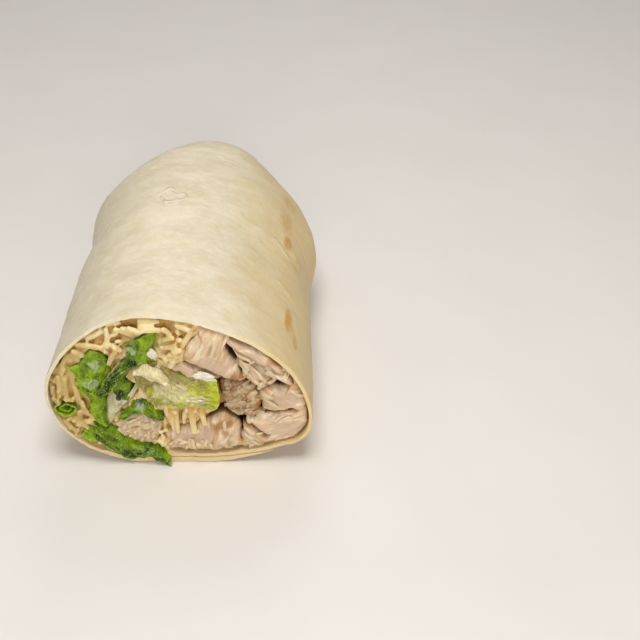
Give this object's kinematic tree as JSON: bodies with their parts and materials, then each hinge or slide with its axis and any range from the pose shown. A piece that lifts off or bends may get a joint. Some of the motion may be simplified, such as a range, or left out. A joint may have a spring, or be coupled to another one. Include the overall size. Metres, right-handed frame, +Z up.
{
  "type": "chicken caesar wrap half",
  "caption": "Half of a tortilla wrap cut across, filled with cooked chicken, romaine and shredded hard cheese, lying on its seam with the cut face showing.",
  "frame": {"origin": "on the surface that the roll rests on, under the middle of the roll's length and close to the middle of its width", "axes": "+Y runs along the roll from the cut face to the tucked end, +X to the right when looking at the cut face, +Z up"},
  "size_m": [0.0794, 0.1294, 0.0569],
  "materials": {
    "tortilla": "pale flour tortilla, matte with a faint sheen, a few toasted spots",
    "chicken": "cooked chicken breast, moist, fibrous",
    "romaine": "green romaine leaf, wet, with a thin film of dressing",
    "romaine_pale": "pale romaine heart and rib, wet",
    "cheese": "shredded hard cheese, waxy",
    "dressing": "creamy dressing, glossy"
  },
  "bodies": {
    "root": {"tortilla": "tortilla", "chicken_fanned": "chicken", "chicken_lobe": "chicken", "chicken_flaked": "chicken", "chicken_wedge": "chicken", "chicken_pulled": "chicken", "chicken_rounded": "chicken", "chicken_striped": "chicken", "chicken_tip": "chicken", "chicken_low": "chicken", "chicken_minced": "chicken", "romaine_left": "romaine", "romaine_long": "romaine", "romaine_tip": "romaine", "romaine_peppered": "romaine", "romaine_folded": "romaine", "romaine_low": "romaine", "romaine_scrap": "romaine", "romaine_poking": "romaine", "romaine_curled": "romaine", "romaine_pale": "romaine_pale", "romaine_rib": "romaine_pale", "cheese": "cheese", "dressing_dollop": "dressing", "dressing_dab": "dressing"}
  },
  "joints": []
}
